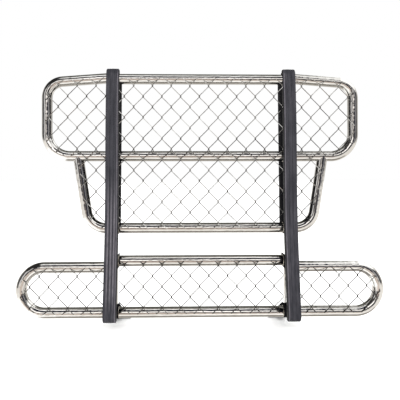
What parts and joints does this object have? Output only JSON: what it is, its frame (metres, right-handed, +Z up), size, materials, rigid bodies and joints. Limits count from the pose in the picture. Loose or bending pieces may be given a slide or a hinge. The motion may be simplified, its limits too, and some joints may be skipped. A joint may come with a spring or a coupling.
{
  "type": "front grille guard",
  "caption": "Polished tube and wire mesh grille guard on two black rubber-faced uprights, folding forward on bolted brackets.",
  "frame": {"origin": "midway between the left and right mounting plates, in the plane of the rear faces that bolt to the truck, at the height of the bolt patterns", "axes": "+X to the right as seen from in front of the truck, +Y back towards the truck, +Z up"},
  "size_m": [2.0528, 0.407, 1.4635],
  "materials": {
    "polished_tube": "mirror polished stainless steel tube",
    "woven_wire": "drawn stainless wire, crimped and interlocked",
    "black_steel": "satin black powder coat",
    "rubber_trim": "moulded black rubber with a beaded edge",
    "bracket_steel": "black powder coat, slightly textured",
    "bush_bronze": "plain bearing bronze",
    "zinc_fasteners": "bright zinc plate"
  },
  "bodies": {
    "brackets": {"mount_arm_inner_left": "bracket_steel", "mount_arm_inner_right": "bracket_steel", "mount_arm_outer_left": "bracket_steel", "mount_arm_outer_right": "bracket_steel", "mount_gusset_left": "bracket_steel", "mount_gusset_right": "bracket_steel", "mount_plate_left": "bracket_steel", "mount_plate_right": "bracket_steel", "pivot_bush_left": "bush_bronze", "pivot_bush_right": "bush_bronze", "pivot_sleeve_left": "bracket_steel", "pivot_sleeve_right": "bracket_steel", "stop_pin_left": "zinc_fasteners", "stop_pin_right": "zinc_fasteners"},
    "guard": {"bucket_bar": "polished_tube", "bucket_leg_left": "polished_tube", "bucket_leg_right": "polished_tube", "clamp_bolt_left": "zinc_fasteners", "clamp_bolt_right": "zinc_fasteners", "clamp_nut_left": "zinc_fasteners", "clamp_nut_right": "zinc_fasteners", "clamp_washers_left": "zinc_fasteners", "clamp_washers_right": "zinc_fasteners", "lower_bottom_bar": "polished_tube", "lower_post_left": "polished_tube", "lower_post_right": "polished_tube", "lower_top_bar": "polished_tube", "lower_wing_left": "polished_tube", "lower_wing_right": "polished_tube", "mesh_lower_centre": "woven_wire", "mesh_lower_left": "woven_wire", "mesh_lower_right": "woven_wire", "mesh_upper_centre": "woven_wire", "mesh_upper_left": "woven_wire", "mesh_upper_right": "woven_wire", "middle_bar": "polished_tube", "pivot_bolt_left": "zinc_fasteners", "pivot_bolt_right": "zinc_fasteners", "pivot_nut_left": "zinc_fasteners", "pivot_nut_right": "zinc_fasteners", "pivot_washers_left": "zinc_fasteners", "pivot_washers_right": "zinc_fasteners", "side_plate_inner_left": "black_steel", "side_plate_inner_right": "black_steel", "side_plate_outer_left": "black_steel", "side_plate_outer_right": "black_steel", "top_bar": "polished_tube", "trim_screws_left": "zinc_fasteners", "trim_screws_right": "zinc_fasteners", "upper_wing_left": "polished_tube", "upper_wing_right": "polished_tube", "upright_trim_left": "rubber_trim", "upright_trim_right": "rubber_trim", "upright_web_left": "black_steel", "upright_web_right": "black_steel"}
  },
  "joints": [
    {"name": "guard_fold", "type": "hinge", "parent": "brackets", "child": "guard", "pos_m": [0, -0.13, 0.0455], "axis": [1, 0, 0], "range_deg": [0, 70]}
  ]
}
